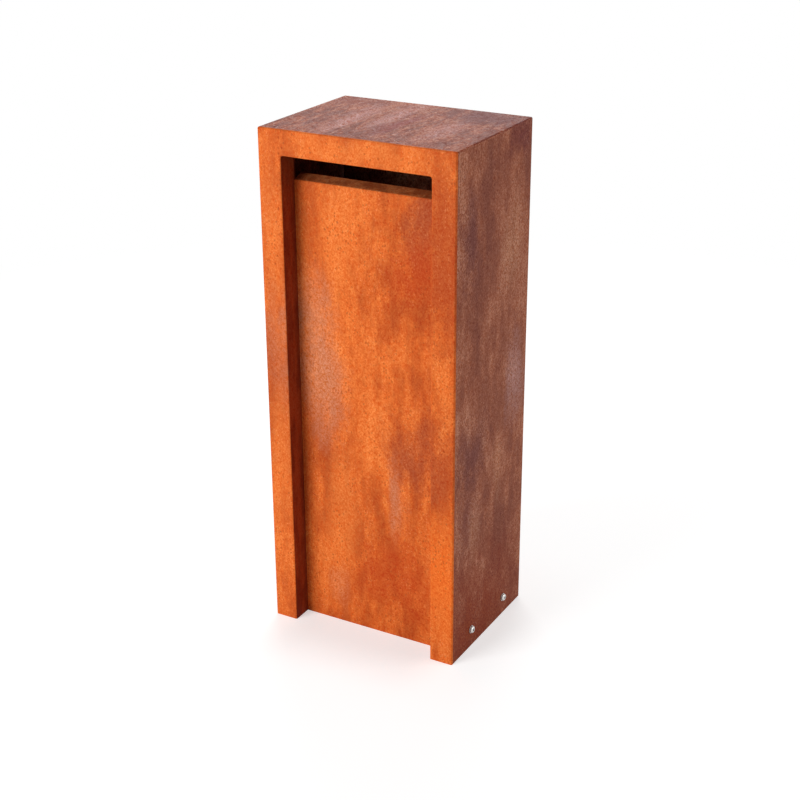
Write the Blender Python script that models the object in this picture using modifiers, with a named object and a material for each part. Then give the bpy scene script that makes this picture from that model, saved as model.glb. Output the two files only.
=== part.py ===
"""A free-standing letterbox folded from weathering steel, in metres: +Z up, +Y to its back.

The origin lies on the ground, at the middle of the box's footprint.
"""

import math

import bmesh
import bpy
from mathutils import Matrix, Vector

# The box
WIDTH = 0.400
DEPTH = 0.300
HEIGHT = 1.000

# Sheet metal, its folds, and the gaps between pieces
SHEET = 0.002
FOLD_INNER_RADIUS = 0.001
FOLD_STEPS = 5
FOLD_RADIUS = FOLD_INNER_RADIUS + SHEET
SEAM = 0.0003
CLEARANCE = 0.0003

# The portal at the front: two legs and a header around the recess
LEG_WIDTH = 0.048
HEADER_HEIGHT = 0.048
RECESS = 0.042
EDGE_LAND = 0.002

# The front panel, its folded lip, and the letter slot above it
PANEL_HEIGHT = 0.900
LIP_DEPTH = 0.024
LIP_RISE = 0.008

# The fixed lower panel at the back, the floor for the mail, and the door above them
FLOOR_HEIGHT = 0.480
FLOOR_FLANGE = 0.020
REAR_FLANGE = 0.020
DRAIN_HOLE = 0.008
DRAIN_INSET = 0.040
DOOR_GAP = 0.003
DOOR_FLANGE = 0.015

# The door's two hinge pins
PIN_DIAMETER = 0.006
PIN_SETBACK = 0.008
PIN_REACH = 0.006
PIN_CHAMFER = 0.001
SWING_CLEARANCE = 0.0007
WASHER_RIM = 0.003
PLATE_BEHIND_PIN = 0.007
PLATE_BESIDE_PIN = 0.018

# The cam lock in the door, and the keeper it turns behind
LOCK_HEIGHT = 0.740
LOCK_FROM_EDGE = 0.030
BARREL_DIAMETER = 0.019
BARREL_FLATS = 0.016
LOCK_HEAD_DIAMETER = 0.023
LOCK_HEAD_HEIGHT = 0.003
LOCK_CHAMFER = 0.0008
LOCK_NUT_FLATS = 0.024
LOCK_NUT_THICKNESS = 0.004
PLUG_DIAMETER = 0.013
PLUG_HEAD_DIAMETER = 0.016
PLUG_HEAD_HEIGHT = 0.0012
PLUG_SQUARE = 0.0074
KEYWAY_LENGTH = 0.008
KEYWAY_WIDTH = 0.0018
KEYWAY_DEPTH = 0.010
CAM_THICKNESS = 0.0025
CAM_WIDTH = 0.016
CAM_SHORT_OF_EDGE = 0.004
CAM_WASHER_DIAMETER = 0.013
CAM_WASHER_THICKNESS = 0.001
CAM_SCREW_DIAMETER = 0.004
CAM_SCREW_LENGTH = 0.008
CAM_SCREW_HEAD_DIAMETER = 0.009
CAM_SCREW_HEAD_HEIGHT = 0.003
KEEPER_HEIGHT = 0.060
KEEPER_REACH = 0.012
KEEPER_LEG = 0.020

# The ground tray inside the foot of the box
TRAY_SHEET = 0.003
TRAY_FLANGE_ABOVE_SCREW = 0.022
TRAY_BEHIND_FRONT = 0.010
TRAY_BEFORE_REAR = 0.005
ANCHOR_HOLE = 0.011
ANCHOR_INSET = 0.045

# The button-head screws that hold the box on the tray
SCREW_DIAMETER = 0.008
SCREW_LENGTH = 0.016
SCREW_HEAD_DIAMETER = 0.014
SCREW_HEAD_HEIGHT = 0.0044
SCREW_RIM_HEIGHT = 0.0011
SCREW_CROWN_RADIUS = 0.0035
SCREW_INSET = 0.080
SCREW_HEIGHT = 0.038
SOCKET_FLATS = 0.005
SOCKET_DEPTH = 0.0026
SIDE_WASHER_DIAMETER = 0.016
SIDE_WASHER_THICKNESS = 0.0016
WELD_NUT_FLATS = 0.013
WELD_NUT_THICKNESS = 0.0065

# Facets of the turned pieces
ROUND = 32
SMALL_ROUND = 24
DOME_STEPS = 7
HOLE_MARGIN = 0.005

# Places that several pieces share
SIDE = WIDTH / 2
FRONT = -DEPTH / 2
BACK = DEPTH / 2
INNER_SIDE = SIDE - SHEET
FITTED_SIDE = INNER_SIDE - SEAM
OPENING_SIDE = SIDE - LEG_WIDTH
OPENING_TOP = HEIGHT - HEADER_HEIGHT
EDGE_TURN = FOLD_RADIUS + EDGE_LAND
PANEL_FRONT = FRONT + RECESS
PANEL_BACK = PANEL_FRONT + SHEET
DOOR_SIDE = INNER_SIDE - DOOR_GAP
DOOR_BOTTOM = FLOOR_HEIGHT + DOOR_GAP
DOOR_TOP = HEIGHT - SHEET - DOOR_GAP
DOOR_FLANGE_EDGE = BACK - DOOR_FLANGE
WASHER_THICKNESS = DOOR_GAP - 2 * CLEARANCE
# The pin stands just far enough in for the door's corner to swing past the side wall
PIN_INSET = (DOOR_GAP**2 + PIN_SETBACK**2 - SWING_CLEARANCE**2) / (2 * (DOOR_GAP - SWING_CLEARANCE))
PIN_X = PIN_INSET - INNER_SIDE
PIN_Y = BACK - PIN_SETBACK
PIN_HOLE = PIN_DIAMETER + 2 * CLEARANCE
LOCK_X = DOOR_SIDE - LOCK_FROM_EDGE
KEEPER_BACK = DOOR_FLANGE_EDGE - SEAM
CAM_BACK = KEEPER_BACK - SHEET - 2 * CLEARANCE
CAM_FRONT = CAM_BACK - CAM_THICKNESS
BARREL_END = CAM_BACK + CLEARANCE
SCREW_HOLE = SCREW_DIAMETER + 2 * CLEARANCE

OUTWARD = {
    "left": Vector((-1, 0, 0)),
    "right": Vector((1, 0, 0)),
    "front": Vector((0, -1, 0)),
    "back": Vector((0, 1, 0)),
    "bottom": Vector((0, 0, -1)),
    "top": Vector((0, 0, 1)),
}


def clear_scene():
    """Removes every object, so that the letterbox stands alone."""
    for obj in list(bpy.data.objects):
        bpy.data.objects.remove(obj, do_unlink=True)


def new_collection(name):
    collection = bpy.data.collections.new(name)
    bpy.context.scene.collection.children.link(collection)
    return collection


def new_material(name, colour, roughness, metallic):
    material = bpy.data.materials.new(name)
    material.use_nodes = True
    shader = material.node_tree.nodes["Principled BSDF"]
    shader.inputs["Base Color"].default_value = (*colour, 1.0)
    shader.inputs["Roughness"].default_value = roughness
    shader.inputs["Metallic"].default_value = metallic
    material.diffuse_color = (*colour, 1.0)
    return material


clear_scene()
PARTS = new_collection("letterbox")
CUTTERS = new_collection("letterbox_cutters")
RUST_ORANGE = new_material("rust_orange", (0.62, 0.16, 0.04), 0.75, 0.1)
RUST_BROWN = new_material("rust_brown", (0.24, 0.08, 0.05), 0.75, 0.1)
RUST_INSIDE = new_material("rust_inside", (0.16, 0.06, 0.03), 0.85, 0.1)
ZINC = new_material("zinc", (0.55, 0.56, 0.57), 0.45, 0.9)
BRIGHT_STEEL = new_material("bright_steel", (0.72, 0.71, 0.70), 0.25, 1.0)


def add_piece(name, bm, material):
    """Makes one piece of the letterbox from a mesh under construction."""
    mesh = bpy.data.meshes.new(name)
    bm.to_mesh(mesh)
    bm.free()
    return place_mesh(name, mesh, material)


def place_mesh(name, mesh, material):
    """A second piece can share its mesh with the first."""
    if not mesh.materials:
        mesh.materials.append(material)
    obj = bpy.data.objects.new(name, mesh)
    PARTS.objects.link(obj)
    return obj


def box_mesh(low, high):
    """A box between two corners, built from a unit cube."""
    low, high = Vector(low), Vector(high)
    bm = bmesh.new()
    bmesh.ops.create_cube(bm, size=1.0)
    bmesh.ops.scale(bm, vec=high - low, verts=bm.verts)
    bmesh.ops.translate(bm, vec=(low + high) / 2, verts=bm.verts)
    return bm


def rod_mesh(diameter, start, end, segments):
    """A straight round bar from one point to another."""
    start, end = Vector(start), Vector(end)
    turn = Vector((0, 0, 1)).rotation_difference(end - start).to_matrix().to_4x4()
    bm = bmesh.new()
    bmesh.ops.create_cone(
        bm,
        cap_ends=True,
        segments=segments,
        radius1=diameter / 2,
        radius2=diameter / 2,
        depth=(end - start).length,
        matrix=Matrix.Translation((start + end) / 2) @ turn,
    )
    return bm


def fold(obj, radius=FOLD_RADIUS, thickness=SHEET):
    """Rounds the folds of an open skin, and gives the sheet its thickness to the inside."""
    rounding = obj.modifiers.new("folds", "BEVEL")
    rounding.width = radius
    rounding.segments = FOLD_STEPS
    rounding.limit_method = "ANGLE"
    wall = obj.modifiers.new("sheet", "SOLIDIFY")
    wall.thickness = thickness
    wall.offset = -1.0
    wall.use_even_offset = True


def folded_box(name, low, high, open_sides, material, radius=FOLD_RADIUS, thickness=SHEET):
    """A box folded from sheet, with the named sides left open."""
    bm = box_mesh(low, high)
    gone = [face for face in bm.faces if any(face.normal.dot(OUTWARD[side]) > 0.5 for side in open_sides)]
    bmesh.ops.delete(bm, geom=gone, context="FACES")
    obj = add_piece(name, bm, material)
    fold(obj, radius, thickness)
    return obj


def add_cutter(name, bm):
    mesh = bpy.data.meshes.new(name)
    bm.to_mesh(mesh)
    bm.free()
    obj = bpy.data.objects.new(name, mesh)
    obj.hide_render = True
    obj.display_type = "WIRE"
    CUTTERS.objects.link(obj)
    return obj


def cut(obj, *cutters):
    for cutter in cutters:
        hole = obj.modifiers.new(cutter.name, "BOOLEAN")
        hole.operation = "DIFFERENCE"
        hole.object = cutter


def join(obj, other):
    """Welds a second shape onto a piece. The shape stays behind as a hidden helper."""
    weld = obj.modifiers.new(other.name, "BOOLEAN")
    weld.operation = "UNION"
    weld.object = other


def hole_cutter(name, diameter, start, end, segments=SMALL_ROUND):
    return add_cutter(name, rod_mesh(diameter, start, end, segments))


def smooth(obj):
    obj.data.shade_smooth()
    obj.data.set_sharp_from_angle(angle=math.radians(40))


def turned(name, profile, segments, material, closed=False):
    """A piece turned about its local Z from (radius, height) points, listed down its outer side."""
    bm = bmesh.new()
    points = [bm.verts.new((radius, 0, height)) for radius, height in profile]
    for first, second in zip(points, points[1:]):
        bm.edges.new((first, second))
    if closed:
        bm.edges.new((points[-1], points[0]))
    obj = add_piece(name, bm, material)
    turn = obj.modifiers.new("turned", "SCREW")
    turn.axis = "Z"
    turn.angle = math.tau
    turn.steps = segments
    turn.render_steps = segments
    turn.use_merge_vertices = True
    turn.merge_threshold = 0.00001
    turn.use_smooth_shade = True
    return obj


def ring_profile(inner, outer, bottom, top):
    """The section of a washer or a plain ring, outer side first."""
    return [(outer / 2, top), (outer / 2, bottom), (inner / 2, bottom), (inner / 2, top)]


def hexagon_mesh(flats, bottom, top):
    """A hexagonal prism about local Z, measured across its flats."""
    return rod_mesh(flats / math.cos(math.pi / 6), (0, 0, bottom), (0, 0, top), 6)


def finished_mesh(obj, name):
    """The mesh of a piece with its modifiers worked in, so that copies can share it."""
    bpy.context.view_layer.update()
    graph = bpy.context.evaluated_depsgraph_get()
    mesh = bpy.data.meshes.new_from_object(obj.evaluated_get(graph))
    mesh.name = name
    bpy.data.objects.remove(obj, do_unlink=True)
    return mesh


def body_wrapper():
    """Left side, top and right side, folded from one sheet and open at the front, back and bottom."""
    low = (-SIDE, FRONT + EDGE_TURN + SEAM, 0)
    wrapper = folded_box("body_wrapper", low, (SIDE, BACK, HEIGHT), ("front", "back", "bottom"), RUST_BROWN)
    for label, x, y in screw_places():
        start = (math.copysign(INNER_SIDE - HOLE_MARGIN, x), y, SCREW_HEIGHT)
        end = (math.copysign(SIDE + HOLE_MARGIN, x), y, SCREW_HEIGHT)
        cut(wrapper, hole_cutter(f"wrapper_hole_{label}", SCREW_HOLE, start, end))


def round_opening(place):
    """Whether a point lies on the front face at the edge of the opening."""
    within = abs(place.x) < OPENING_SIDE + SEAM and place.z < OPENING_TOP + SEAM
    return within and abs(place.y - FRONT) < SEAM


def front_frame():
    """The portal at the front: one face with its outer edges and its opening's edges turned back."""
    bm = box_mesh((-SIDE, FRONT, 0), (SIDE, FRONT + EDGE_TURN, HEIGHT))
    gone = [face for face in bm.faces if face.normal.y > 0.5 or face.normal.z < -0.5]
    bmesh.ops.delete(bm, geom=gone, context="FACES")
    for point, normal in (
        ((-OPENING_SIDE, 0, 0), (1, 0, 0)),
        ((OPENING_SIDE, 0, 0), (1, 0, 0)),
        ((0, 0, OPENING_TOP), (0, 0, 1)),
    ):
        face = [f for f in bm.faces if f.normal.y < -0.5]
        around = {edge for f in face for edge in f.edges}
        bmesh.ops.bisect_plane(bm, geom=face + list(around), plane_co=point, plane_no=normal)
    opening = []
    for face in bm.faces:
        middle = face.calc_center_median()
        if face.normal.y < -0.5 and abs(middle.x) < OPENING_SIDE and middle.z < OPENING_TOP:
            opening.append(face)
    bmesh.ops.delete(bm, geom=opening, context="FACES")
    rim = [edge for edge in bm.edges if all(round_opening(vert.co) for vert in edge.verts)]
    turned_back = bmesh.ops.extrude_edge_only(bm, edges=rim)["geom"]
    far = [item for item in turned_back if isinstance(item, bmesh.types.BMVert)]
    bmesh.ops.translate(bm, vec=(0, RECESS + SHEET, 0), verts=far)
    face_outwards(bm, OUTWARD["front"])
    fold(add_piece("front_frame", bm, RUST_ORANGE))


def face_outwards(bm, direction):
    """Makes the faces of an open skin agree, with the skin's main face towards a direction."""
    bmesh.ops.recalc_face_normals(bm, faces=bm.faces)
    if sum(face.normal.dot(direction) * face.calc_area() for face in bm.faces) < 0:
        bmesh.ops.reverse_faces(bm, faces=bm.faces)


def front_panel():
    """The recessed panel between the legs, its top edge folded back into a sloping lip."""
    half = OPENING_SIDE - SEAM
    bm = bmesh.new()
    foot = [bm.verts.new((x, PANEL_FRONT, 0)) for x in (-half, half)]
    edge = bm.edges.new(foot)
    for step in ((0, 0, PANEL_HEIGHT), (0, LIP_DEPTH, LIP_RISE)):
        grown = bmesh.ops.extrude_edge_only(bm, edges=[edge])["geom"]
        edge = next(item for item in grown if isinstance(item, bmesh.types.BMEdge))
        bmesh.ops.translate(bm, vec=step, verts=edge.verts)
    face_outwards(bm, OUTWARD["front"])
    fold(add_piece("front_panel", bm, RUST_ORANGE))


def rear_panel():
    """The fixed lower half of the back, whose top flange carries the door's lower pin."""
    low = (-FITTED_SIDE, BACK - REAR_FLANGE, 0)
    panel = folded_box("rear_panel", low, (FITTED_SIDE, BACK, FLOOR_HEIGHT), ("front", "bottom"), RUST_BROWN)
    start = (PIN_X, PIN_Y, FLOOR_HEIGHT - SHEET - HOLE_MARGIN)
    end = (PIN_X, PIN_Y, FLOOR_HEIGHT + HOLE_MARGIN)
    cut(panel, hole_cutter("rear_panel_pin_hole", PIN_HOLE, start, end))


def mail_floor():
    """The floor that the mail lands on, a tray turned upside down with four drain holes."""
    front = PANEL_BACK + SEAM
    back = BACK - REAR_FLANGE - SEAM
    low = (-FITTED_SIDE, front, FLOOR_HEIGHT - FLOOR_FLANGE)
    floor = folded_box("mail_floor", low, (FITTED_SIDE, back, FLOOR_HEIGHT), ("bottom",), RUST_INSIDE)
    for i, x in enumerate((DRAIN_INSET - FITTED_SIDE, FITTED_SIDE - DRAIN_INSET)):
        for j, y in enumerate((front + DRAIN_INSET, back - DRAIN_INSET)):
            start = (x, y, FLOOR_HEIGHT - SHEET - HOLE_MARGIN)
            end = (x, y, FLOOR_HEIGHT + HOLE_MARGIN)
            cut(floor, hole_cutter(f"drain_hole_{i}_{j}", DRAIN_HOLE, start, end))


def empty_at(name, place):
    """The axis that a moving group turns on."""
    pivot = bpy.data.objects.new(name, None)
    pivot.location = place
    PARTS.objects.link(pivot)
    return pivot


def hang_on(pivot, obj):
    """Parents a piece to its pivot, and leaves it where it is."""
    obj.parent = pivot
    obj.matrix_parent_inverse = Matrix.Translation(pivot.location).inverted()


def rear_door(pivot):
    """The door over the upper half of the back: a pan with its edges turned in all round."""
    low = (-DOOR_SIDE, DOOR_FLANGE_EDGE, DOOR_BOTTOM)
    door = folded_box("rear_door", low, (DOOR_SIDE, BACK, DOOR_TOP), ("front",), RUST_BROWN)
    for label, z in (("lower", DOOR_BOTTOM), ("upper", DOOR_TOP)):
        start = (PIN_X, PIN_Y, z - SHEET - HOLE_MARGIN)
        end = (PIN_X, PIN_Y, z + SHEET + HOLE_MARGIN)
        cut(door, hole_cutter(f"door_pin_hole_{label}", PIN_HOLE, start, end))
    start = (LOCK_X, BACK - SHEET - HOLE_MARGIN, LOCK_HEIGHT)
    end = (LOCK_X, BACK + HOLE_MARGIN, LOCK_HEIGHT)
    bm = rod_mesh(BARREL_DIAMETER + 2 * CLEARANCE, start, end, ROUND)
    for side in (-1, 1):
        flat = (LOCK_X, BACK, LOCK_HEIGHT + side * (BARREL_FLATS / 2 + CLEARANCE))
        everything = list(bm.verts) + list(bm.edges) + list(bm.faces)
        bmesh.ops.bisect_plane(bm, geom=everything, plane_co=flat, plane_no=(0, 0, side), clear_outer=True)
        bmesh.ops.holes_fill(bm, edges=[edge for edge in bm.edges if edge.is_boundary])
    bmesh.ops.recalc_face_normals(bm, faces=bm.faces)
    cut(door, add_cutter("door_lock_hole", bm))
    hang_on(pivot, door)


def chamfered_pin(name, bottom, top):
    """A plain dowel with chamfered ends, standing on the hinge axis."""
    radius = PIN_DIAMETER / 2
    tip = radius - PIN_CHAMFER
    upper_half = [(0, top), (tip, top), (radius, top - PIN_CHAMFER)]
    lower_half = [(radius, bottom + PIN_CHAMFER), (tip, bottom), (0, bottom)]
    pin = turned(name, upper_half + lower_half, SMALL_ROUND, BRIGHT_STEEL)
    pin.location = (PIN_X, PIN_Y, 0)


def hinges():
    """Two pins, the washer that the door turns on, and the plate that holds the upper pin."""
    chamfered_pin("hinge_pin_lower", FLOOR_HEIGHT - SHEET - PIN_REACH, DOOR_BOTTOM + SHEET + PIN_REACH)
    chamfered_pin("hinge_pin_upper", DOOR_TOP - SHEET - PIN_REACH, HEIGHT - SHEET - SEAM)
    outer = PIN_HOLE + 2 * WASHER_RIM
    bottom = FLOOR_HEIGHT + CLEARANCE
    profile = ring_profile(PIN_HOLE, outer, bottom, bottom + WASHER_THICKNESS)
    washer = turned("hinge_washer", profile, SMALL_ROUND, BRIGHT_STEEL, closed=True)
    washer.location = (PIN_X, PIN_Y, 0)
    low = (FOLD_RADIUS - INNER_SIDE, PIN_Y - PLATE_BESIDE_PIN, DOOR_TOP + CLEARANCE)
    high = (PIN_X + PLATE_BESIDE_PIN, PIN_Y + PLATE_BEHIND_PIN, HEIGHT - SHEET - SEAM)
    plate = add_piece("upper_hinge_plate", box_mesh(low, high), RUST_INSIDE)
    start = (PIN_X, PIN_Y, DOOR_TOP - HOLE_MARGIN)
    cut(plate, hole_cutter("plate_pin_hole", PIN_HOLE, start, (PIN_X, PIN_Y, HEIGHT + HOLE_MARGIN)))


def lock_keeper():
    """The angle on the right wall that stops the door, and that the lock's cam turns behind."""
    low = (DOOR_SIDE - KEEPER_REACH, KEEPER_BACK - KEEPER_LEG, LOCK_HEIGHT - KEEPER_HEIGHT / 2)
    high = (FITTED_SIDE, KEEPER_BACK, LOCK_HEIGHT + KEEPER_HEIGHT / 2)
    folded_box("lock_keeper", low, high, ("left", "front", "top", "bottom"), RUST_INSIDE)


def on_lock_axis(obj, pivot):
    """Turns a piece made about local Z onto the lock's axis, with local Z to the back."""
    obj.rotation_euler = (-math.pi / 2, 0, 0)
    obj.location = (LOCK_X, 0, LOCK_HEIGHT)
    bpy.context.view_layer.update()
    hang_on(pivot, obj)


def lock_housing(pivot):
    """The lock's shell: a low head outside the door and a barrel with two flats through it."""
    head_bottom = BACK + SEAM
    head_top = head_bottom + LOCK_HEAD_HEIGHT
    head = LOCK_HEAD_DIAMETER / 2
    bore = PLUG_DIAMETER / 2 + CLEARANCE
    counterbore = PLUG_HEAD_DIAMETER / 2 + CLEARANCE
    seat = head_top - PLUG_HEAD_HEIGHT - CLEARANCE
    profile = [
        (counterbore, head_top),
        (head - LOCK_CHAMFER, head_top),
        (head, head_top - LOCK_CHAMFER),
        (head, head_bottom),
        (BARREL_DIAMETER / 2, head_bottom),
        (BARREL_DIAMETER / 2, BARREL_END),
        (bore, BARREL_END),
        (bore, seat),
        (counterbore, seat),
    ]
    housing = turned("lock_housing", profile, ROUND, BRIGHT_STEEL, closed=True)
    on_lock_axis(housing, pivot)
    for label, side in (("upper", 1), ("lower", -1)):
        near = LOCK_HEIGHT + side * BARREL_FLATS / 2
        far = LOCK_HEIGHT + side * BARREL_DIAMETER
        low = (LOCK_X - BARREL_DIAMETER, BARREL_END - HOLE_MARGIN, min(near, far))
        high = (LOCK_X + BARREL_DIAMETER, head_bottom, max(near, far))
        cut(housing, add_cutter(f"barrel_flat_{label}", box_mesh(low, high)))


def lock_nut(pivot):
    """The nut that clamps the housing from inside the door."""
    top = BACK - SHEET - SEAM
    bm = hexagon_mesh(LOCK_NUT_FLATS, top - LOCK_NUT_THICKNESS, top)
    nut = add_piece("lock_nut", bm, ZINC)
    on_lock_axis(nut, pivot)
    start = (LOCK_X, top - LOCK_NUT_THICKNESS - HOLE_MARGIN, LOCK_HEIGHT)
    end = (LOCK_X, top + HOLE_MARGIN, LOCK_HEIGHT)
    cut(nut, hole_cutter("lock_nut_bore", BARREL_DIAMETER + 2 * CLEARANCE, start, end, ROUND))


def lock_plug(pivot):
    """The turning core: a head with the keyway, a round body, and a square end for the cam."""
    head_top = BACK + SEAM + LOCK_HEAD_HEIGHT
    shoulder = head_top - PLUG_HEAD_HEIGHT
    body = PLUG_DIAMETER / 2
    profile = [
        (0, head_top),
        (PLUG_HEAD_DIAMETER / 2, head_top),
        (PLUG_HEAD_DIAMETER / 2, shoulder),
        (body, shoulder),
        (body, BARREL_END),
        (0, BARREL_END),
    ]
    plug = turned("lock_plug", profile, ROUND, BRIGHT_STEEL)
    on_lock_axis(plug, pivot)
    half = PLUG_SQUARE / 2
    square_end = CAM_FRONT + CLEARANCE
    low = (LOCK_X - half, square_end, LOCK_HEIGHT - half)
    high = (LOCK_X + half, BARREL_END + HOLE_MARGIN, LOCK_HEIGHT + half)
    join(plug, add_cutter("plug_square", box_mesh(low, high)))
    low = (LOCK_X - KEYWAY_WIDTH / 2, head_top - KEYWAY_DEPTH, LOCK_HEIGHT - KEYWAY_LENGTH / 2)
    high = (LOCK_X + KEYWAY_WIDTH / 2, head_top + HOLE_MARGIN, LOCK_HEIGHT + KEYWAY_LENGTH / 2)
    cut(plug, add_cutter("keyway", box_mesh(low, high)))
    start = (LOCK_X, square_end - HOLE_MARGIN, LOCK_HEIGHT)
    end = (LOCK_X, square_end + CAM_SCREW_LENGTH, LOCK_HEIGHT)
    cut(plug, hole_cutter("cam_screw_hole", CAM_SCREW_DIAMETER + 2 * CLEARANCE, start, end, SMALL_ROUND))


def lock_cam(pivot):
    """The flat lever on the plug's square, which stands up while the lock is open."""
    reach = LOCK_FROM_EDGE - CAM_SHORT_OF_EDGE - CAM_WIDTH / 2
    low = (LOCK_X - CAM_WIDTH / 2, CAM_FRONT, LOCK_HEIGHT)
    high = (LOCK_X + CAM_WIDTH / 2, CAM_BACK, LOCK_HEIGHT + reach)
    cam = add_piece("lock_cam", box_mesh(low, high), ZINC)
    for label, z in (("hub", LOCK_HEIGHT), ("tip", LOCK_HEIGHT + reach)):
        end = rod_mesh(CAM_WIDTH, (LOCK_X, CAM_FRONT, z), (LOCK_X, CAM_BACK, z), ROUND)
        join(cam, add_cutter(f"cam_{label}", end))
    half = PLUG_SQUARE / 2 + CLEARANCE
    low = (LOCK_X - half, CAM_FRONT - HOLE_MARGIN, LOCK_HEIGHT - half)
    high = (LOCK_X + half, CAM_BACK + HOLE_MARGIN, LOCK_HEIGHT + half)
    cut(cam, add_cutter("cam_square", box_mesh(low, high)))
    hang_on(pivot, cam)


def cam_fixing(pivot):
    """The screw and washer that hold the cam on the plug."""
    washer_top = CAM_FRONT - SEAM
    washer_bottom = washer_top - CAM_WASHER_THICKNESS
    hole = CAM_SCREW_DIAMETER + 2 * CLEARANCE
    profile = ring_profile(hole, CAM_WASHER_DIAMETER, washer_bottom, washer_top)
    washer = turned("cam_washer", profile, SMALL_ROUND, ZINC, closed=True)
    on_lock_axis(washer, pivot)
    under_head = washer_bottom - SEAM
    head_end = under_head - CAM_SCREW_HEAD_HEIGHT
    tip = CAM_FRONT + CAM_SCREW_LENGTH - CLEARANCE
    rim = CAM_SCREW_HEAD_DIAMETER / 2
    shank = CAM_SCREW_DIAMETER / 2
    profile = [(0, tip), (shank, tip), (shank, under_head), (rim, under_head), (rim, head_end), (0, head_end)]
    screw = turned("cam_screw", profile, SMALL_ROUND, BRIGHT_STEEL)
    on_lock_axis(screw, pivot)


def base_tray():
    """The galvanised tray that is bolted to the ground, its sides turned up inside the box."""
    front = PANEL_BACK + TRAY_BEHIND_FRONT
    back = BACK - REAR_FLANGE - TRAY_BEFORE_REAR
    top = SCREW_HEIGHT + TRAY_FLANGE_ABOVE_SCREW
    radius = FOLD_INNER_RADIUS + TRAY_SHEET
    low, high = (-FITTED_SIDE, front, 0), (FITTED_SIDE, back, top)
    tray = folded_box("base_tray", low, high, ("front", "back", "top"), ZINC, radius, TRAY_SHEET)
    for label, x, y in screw_places():
        start = (math.copysign(FITTED_SIDE - TRAY_SHEET - HOLE_MARGIN, x), y, SCREW_HEIGHT)
        end = (math.copysign(SIDE + HOLE_MARGIN, x), y, SCREW_HEIGHT)
        cut(tray, hole_cutter(f"tray_hole_{label}", SCREW_HOLE, start, end))
    for i, x in enumerate((ANCHOR_INSET - FITTED_SIDE, FITTED_SIDE - ANCHOR_INSET)):
        for j, y in enumerate((front + ANCHOR_INSET, back - ANCHOR_INSET)):
            start, end = (x, y, -HOLE_MARGIN), (x, y, TRAY_SHEET + HOLE_MARGIN)
            cut(tray, hole_cutter(f"anchor_hole_{i}_{j}", ANCHOR_HOLE, start, end))


def screw_places():
    """(label, x, y) of the four side screws, x on the outer face of the box."""
    places = []
    for side, x in (("left", -SIDE), ("right", SIDE)):
        for end, y in (("front", FRONT + SCREW_INSET), ("rear", BACK - SCREW_INSET)):
            places.append((f"{side}_{end}", x, y))
    return places


def button_screw_mesh():
    """A button-head screw about local Z, its head's underside at zero, with a hexagon socket."""
    rim = SCREW_HEAD_DIAMETER / 2
    dome = []
    for i in range(DOME_STEPS + 1):
        angle = math.pi / 2 * (1 - i / DOME_STEPS)
        radius = SCREW_CROWN_RADIUS + (rim - SCREW_CROWN_RADIUS) * math.cos(angle)
        dome.append((radius, SCREW_RIM_HEIGHT + (SCREW_HEAD_HEIGHT - SCREW_RIM_HEIGHT) * math.sin(angle)))
    shank = SCREW_DIAMETER / 2
    end = -SCREW_LENGTH
    profile = [(0, SCREW_HEAD_HEIGHT), *dome, (rim, 0), (shank, 0), (shank, end), (0, end)]
    screw = turned("button_screw", profile, ROUND, BRIGHT_STEEL)
    socket = hexagon_mesh(SOCKET_FLATS, SCREW_HEAD_HEIGHT - SOCKET_DEPTH, SCREW_HEAD_HEIGHT + HOLE_MARGIN)
    cut(screw, add_cutter("screw_socket", socket))
    return finished_mesh(screw, "button_screw")


def weld_nut_mesh():
    """A hexagon weld nut about local Z, its seat on the sheet at zero."""
    nut = add_piece("nut_blank", hexagon_mesh(WELD_NUT_FLATS, -WELD_NUT_THICKNESS, 0), ZINC)
    start, end = (0, 0, -WELD_NUT_THICKNESS - HOLE_MARGIN), (0, 0, HOLE_MARGIN)
    cut(nut, hole_cutter("weld_nut_bore", SCREW_HOLE, start, end))
    return finished_mesh(nut, "weld_nut")


def side_washer_mesh():
    """A plain washer about local Z, its seat on the box at zero."""
    profile = ring_profile(SCREW_HOLE, SIDE_WASHER_DIAMETER, 0, SIDE_WASHER_THICKNESS)
    washer = turned("washer_blank", profile, ROUND, BRIGHT_STEEL, closed=True)
    return finished_mesh(washer, "side_washer")


def side_fixings():
    """At each of four places: a button-head screw, its washer, and the nut welded in the tray."""
    washer_seat = SEAM
    head_seat = washer_seat + SIDE_WASHER_THICKNESS + SEAM
    nut_seat = FITTED_SIDE - TRAY_SHEET - SEAM - SIDE
    kinds = (
        ("side_screw", button_screw_mesh(), BRIGHT_STEEL, head_seat),
        ("side_washer", side_washer_mesh(), BRIGHT_STEEL, washer_seat),
        ("weld_nut", weld_nut_mesh(), ZINC, nut_seat),
    )
    for label, x, y in screw_places():
        outwards = math.copysign(1, x)
        for kind, mesh, material, seat in kinds:
            piece = place_mesh(f"{kind}_{label}", mesh, material)
            piece.rotation_euler = (0, outwards * math.pi / 2, 0)
            piece.location = (x + outwards * seat, y, SCREW_HEIGHT)


def build():
    body_wrapper()
    front_frame()
    front_panel()
    rear_panel()
    mail_floor()
    door_pivot = empty_at("door_axis", (PIN_X, PIN_Y, 0))
    rear_door(door_pivot)
    hinges()
    lock_keeper()
    lock_housing(door_pivot)
    lock_nut(door_pivot)
    lock_pivot = empty_at("lock_axis", (LOCK_X, 0, LOCK_HEIGHT))
    lock_plug(lock_pivot)
    lock_cam(lock_pivot)
    cam_fixing(lock_pivot)
    base_tray()
    side_fixings()
    for piece in PARTS.objects:
        if piece.type == "MESH":
            smooth(piece)


build()
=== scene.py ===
import math

import bmesh
import bpy
from mathutils import Matrix, Vector


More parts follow.
